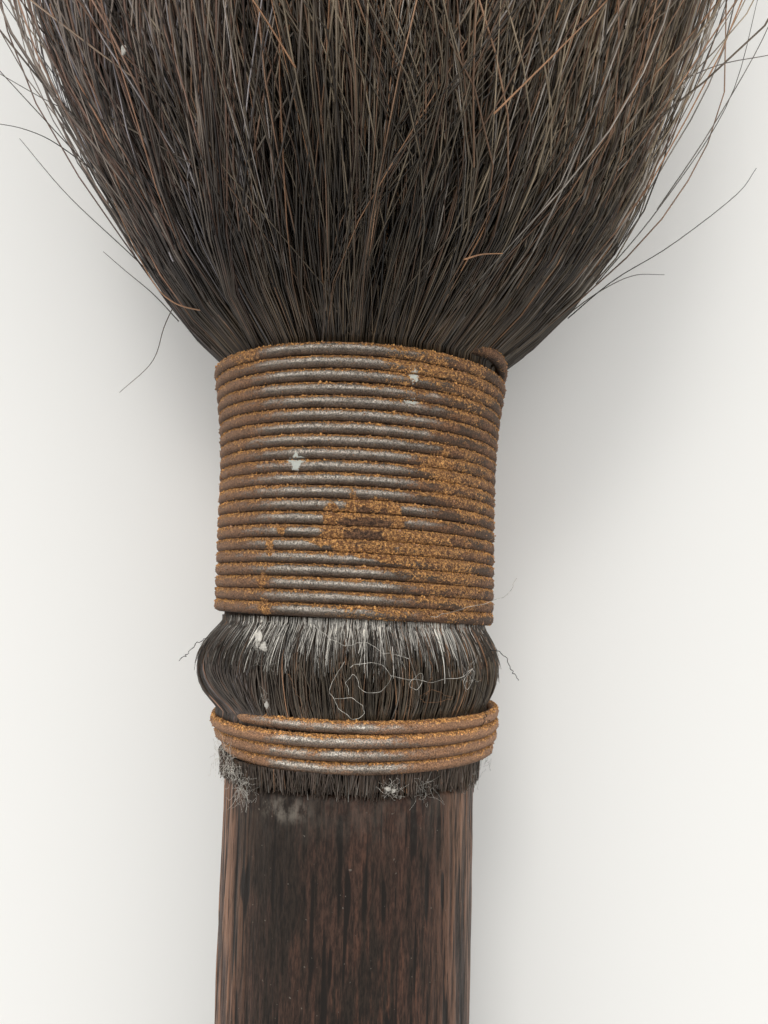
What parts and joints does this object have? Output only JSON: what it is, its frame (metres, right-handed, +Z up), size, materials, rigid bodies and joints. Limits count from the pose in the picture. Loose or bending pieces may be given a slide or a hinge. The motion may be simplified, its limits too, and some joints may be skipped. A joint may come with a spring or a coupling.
{
  "type": "fly whisk",
  "caption": "Fly whisk: horse-tail hair bound onto the neck of a plain round wooden handle by a tight sleeve of iron wire and a narrow wire band, lying on a table.",
  "frame": {"origin": "on the table plane, below the middle of the whole whisk's box as it lies, from the butt to the tips of the hair", "axes": "+Y from the butt of the handle towards the hair, +Z up from the table, +X to the right when looking along +Y; the handle's own axis rises 1.5 degrees towards the hair"},
  "size_m": [0.0766, 0.6902, 0.0514],
  "materials": {
    "wood": "dark, worn, waxed by use",
    "hair": "natural black-brown horse-tail hair",
    "iron_wire": "drawn iron wire, rusted brown and orange over grey"
  },
  "bodies": {
    "root": {"handle": "wood", "inner_hair_layer": "hair", "outer_hair_layer": "hair", "hair_tuft": "hair", "upper_wire_winding": "iron_wire", "lower_wire_winding": "iron_wire"}
  },
  "joints": []
}
